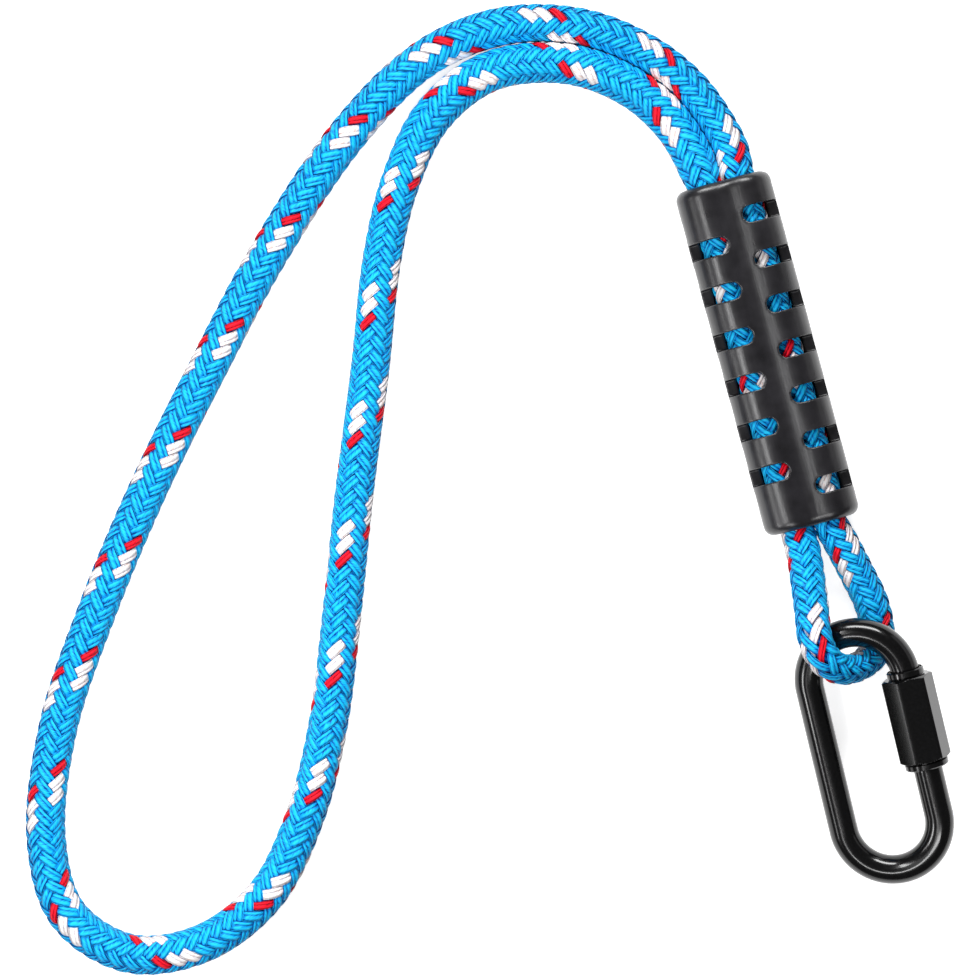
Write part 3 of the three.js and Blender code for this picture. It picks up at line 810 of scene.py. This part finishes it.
def add_link(matrix):
    path = link_line(BAR_STEP)
    run = lengths_along(path)
    end_run = run[-1] - run
    angle = np.linspace(0, 2 * np.pi, 48, endpoint=False)
    # The nut hides the thread on both sides of the gap.
    covered = (GAP_START, NUT_LENGTH - GAP_START - GAP_LENGTH)
    threaded = 1 - ease(run, covered[0] - THREAD_FADES[0], covered[0])
    threaded = np.maximum(threaded, 1 - ease(end_run, covered[1] - THREAD_FADES[1], covered[1]))
    whole = ease(np.minimum(run, end_run), *TIP_SPAN)
    # The path runs up the right leg at both of its ends, so the thread winds one way on both.
    height = path[:, 1:2] / THREAD_PITCH
    wave = thread_wave(height - angle[None, :] / (2 * np.pi))
    radius = ROD / 2 - THREAD_DEPTH * threaded[:, None] * wave
    radius = radius - TIP_ROUND * (1 - whole[:, None])
    _, side, up = frames_along(path)
    spokes = (np.cos(angle)[None, :, None] * side[:, None]
              + np.sin(angle)[None, :, None] * up[:, None])
    parts = MeshParts()
    parts.add_grid(moved(matrix, path[:, None] + radius[..., None] * spokes), close_ends=True)
    bar = parts.build("link_bar", [STEEL])
    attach(bar, "link")
    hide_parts("link_body")


def hex_radius(angle):
    """Radius of the hexagon at each angle, with its corners rounded a little."""
    sixth = (angle + np.pi / 6) % (np.pi / 3) - np.pi / 6
    sharp = NUT_FLATS / 2 / np.cos(sixth)
    return np.minimum(sharp, NUT_FLATS / math.sqrt(3) * NUT_CORNERS)


def turned_ring(radius, y, angle):
    """A ring round the nut's axis; radius is one number or one for each angle."""
    radius = np.broadcast_to(radius, len(angle))
    return np.stack([radius * np.sin(angle), np.full(len(angle), y), radius * np.cos(angle)], 1)


def add_nut_shell(place):
    angle = np.linspace(0, 2 * np.pi, 360, endpoint=False)
    half, hexagon = NUT_LENGTH / 2, NUT_HEX_LENGTH / 2
    corner, chamfer = NUT_FLATS / math.sqrt(3), NUT_FLATS / 2 - 0.15 * MM
    upper, lower = NUT_COLLARS
    edge = 0.35 * MM
    # Height and greatest radius of the turned shape, from the top down.
    profile = [
        (half, NUT_BORE), (half, upper - edge), (half - edge, upper), (hexagon + 0.5 * MM, upper),
        (hexagon + 0.15 * MM, upper - 0.35 * MM), (hexagon, upper - 0.2 * MM), (hexagon, chamfer),
        (hexagon - 0.7 * MM, corner), (0.7 * MM - hexagon, corner), (-hexagon, chamfer),
        (-hexagon, lower - 0.35 * MM), (-hexagon - 0.3 * MM, lower - 0.45 * MM),
        (-hexagon - 0.6 * MM, lower), (edge - half, lower), (-half, lower - edge), (-half, NUT_BORE),
    ]
    rings = []
    steps = 6
    for (y0, r0), (y1, r1) in zip(profile, profile[1:]):
        for t in np.linspace(0, 1, steps, endpoint=False):
            y, limit = y0 + (y1 - y0) * t, r0 + (r1 - r0) * t
            rings.append(turned_ring(np.minimum(limit, hex_radius(angle)), y, angle))
    rings += [turned_ring(NUT_BORE, y, angle) for y in (-half, half)]
    parts = MeshParts()
    parts.add_grid(moved(place, np.array(rings)[:, ::-1]))
    shell = parts.build("nut_shell", [STEEL])
    shell.data.set_sharp_from_angle(angle=SHARP_EDGE)
    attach(shell, "nut")
    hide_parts("nut_hex")


def add_nut_thread(place):
    reach = NUT_LENGTH / 2 - LINING_INSET
    y = np.linspace(-reach, reach, 180)
    angle = np.linspace(0, 2 * np.pi, 64, endpoint=False)
    wave = thread_wave(y[:, None] / THREAD_PITCH - angle[None, :] / (2 * np.pi))
    inside = [turned_ring(LINING_INNER + LINING_RELIEF * w, h, angle) for w, h in zip(wave, y)]
    outside = [turned_ring(LINING_OUTER, h, angle) for h in y[::-1]]
    parts = MeshParts()
    parts.add_grid(moved(place, np.array(inside + outside)))
    lining = parts.build("nut_thread", [STEEL])
    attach(lining, "nut_run")
    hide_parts("nut_lining")


def add_nut(matrix):
    place = matrix @ Matrix.Rotation(NUT_TURN, 4, "Y")
    place.translation = Vector(joints["nut_spin"]["pos_m"])
    add_nut_shell(place)
    add_nut_thread(place)


# ---- CAD nodes that keep their shape ----
def dress_cad_nodes():
    for node in ("strand_left_core", "strand_right_lower_core", "strand_right_upper_core"):
        set_material(node, CORE)
    for node in ("whipping_lower", "whipping_upper"):
        set_material(node, TWINE)


def set_material(node, material):
    for slot in frame["nodes"][node].material_slots:
        slot.material = material


# ---- Studio ----
def add_softbox(name, toward, tilt, size, power, distance=1.3, aim=(0, 0, 0)):
    """A softbox at a tilt from straight up, both angles in degrees. toward 0 is +x, 90 is +y.
    Its size and distance are in metres and its power in watts."""
    data = bpy.data.lights.new(name, "AREA")
    data.shape = "RECTANGLE"
    data.size, data.size_y = size
    data.energy = power
    lamp = bpy.data.objects.new(name, data)
    bpy.context.collection.objects.link(lamp)
    plan, lean = math.radians(toward), math.radians(tilt)
    way = Vector((math.sin(lean) * math.cos(plan), math.sin(lean) * math.sin(plan), math.cos(lean)))
    lamp.location = Vector(aim) + way * distance
    lamp.visible_camera = False
    lamp.rotation_euler = (-way).to_track_quat("-Z", "Y").to_euler()


def add_floor():
    """A light table: it glows, so that shadows on it stay faint."""
    mesh = bpy.data.meshes.new("floor")
    reach = 4.0
    mesh.from_pydata([(-reach, -reach, 0), (reach, -reach, 0), (reach, reach, 0), (-reach, reach, 0)],
                     [], [(0, 1, 2, 3)])
    floor = bpy.data.objects.new("floor", mesh)
    bpy.context.collection.objects.link(floor)
    floor.location.z = -FLOOR_DROP
    floor.visible_diffuse = False     # the glow doesn't reach the sides of the rope
    material, _, _, shader = new_material("pale floor")
    shader.inputs["Base Color"].default_value = (0.82, 0.82, 0.82, 1)
    shader.inputs["Roughness"].default_value = 0.9
    shader.inputs["Emission Color"].default_value = (1, 1, 1, 1)
    shader.inputs["Emission Strength"].default_value = 0.7
    mesh.materials.append(material)


def add_lights():
    """Strips show as long highlights on the rods. The two near ones are aimed at one piece each."""
    add_softbox("left strip", 180, 26, (1.2, 0.22), 1.2)
    add_softbox("low left strip", 182, 58, (1.0, 0.17), 3)
    add_softbox("top strip", 75, 50, (0.9, 0.3), 17)
    add_softbox("grip strip", 180, 29, (0.17, 0.045), 0.42, distance=0.35, aim=grip)
    link_middle = link_place @ Vector((0, LINK_MIDDLE, 0))
    add_softbox("link strip", 182, 58, (0.14, 0.05), 0.3, distance=0.45, aim=link_middle)
    add_softbox("foot strip", 255, 32, (0.7, 0.14), 5)
    add_softbox("right softbox", 10, 74, (1.0, 0.6), 1)


def add_world():
    world = bpy.data.worlds.new("studio")
    world.use_nodes = True
    background = world.node_tree.nodes["Background"]
    background.inputs["Color"].default_value = (1, 1, 1, 1)
    background.inputs["Strength"].default_value = 0.1
    bpy.context.scene.world = world
    bpy.context.scene.view_settings.view_transform = "Standard"


add_camera()
add_free_ropes()
add_ropes_in_grip()
add_grip()
link_place = link_matrix()
add_link(link_place)
add_nut(link_place)
dress_cad_nodes()
add_floor()
add_lights()
add_world()
